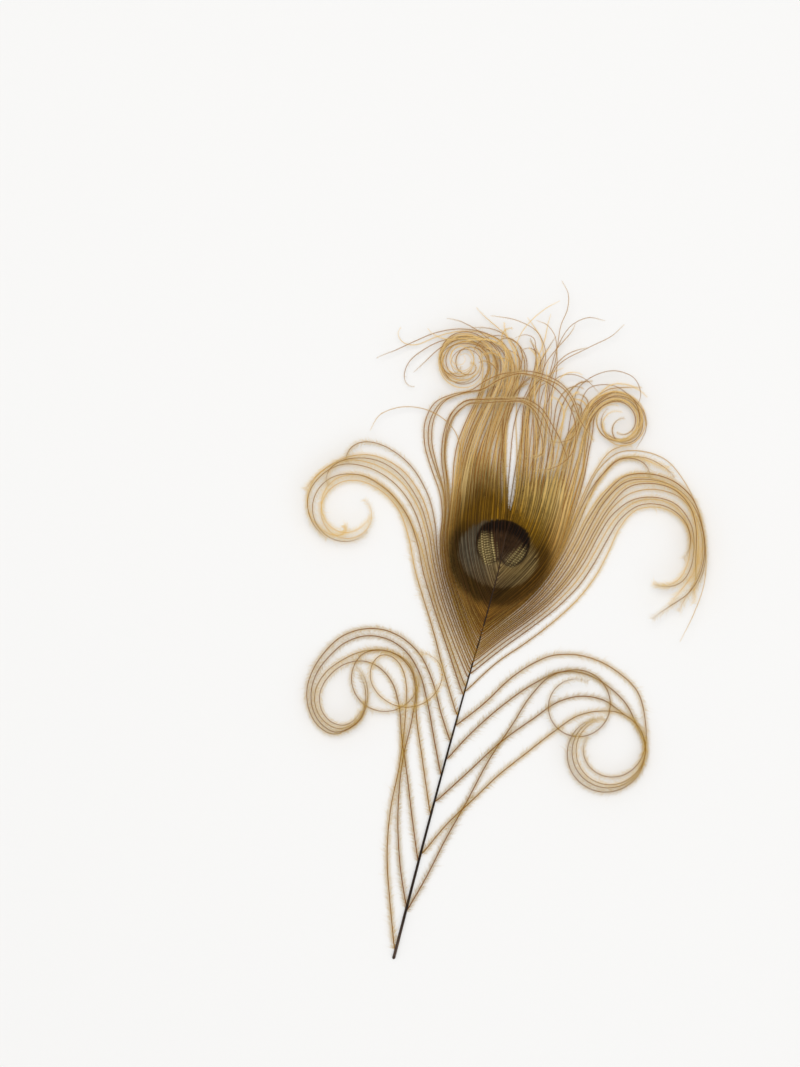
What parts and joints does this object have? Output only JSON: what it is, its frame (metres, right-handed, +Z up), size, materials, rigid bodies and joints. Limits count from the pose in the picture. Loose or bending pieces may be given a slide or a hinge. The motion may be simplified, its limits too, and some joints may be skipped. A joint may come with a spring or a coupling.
{
  "type": "peacock feather",
  "caption": "Loose peacock eye feather lying face up, with a slender shaft, a closed vane round the eye, and long barbs that end in open curls.",
  "frame": {"origin": "centre of the bounding box, on the surface that the feather lies on", "axes": "+Y along the shaft from the quill's cut end towards the eye and the plume, +Z up, out of the face that shows the eye, +X to the right of the eye as seen from above"},
  "size_m": [0.0985, 0.1686, 0.008],
  "materials": {
    "barbs": null
  },
  "bodies": {
    "root": {"feather": "barbs"}
  },
  "joints": []
}
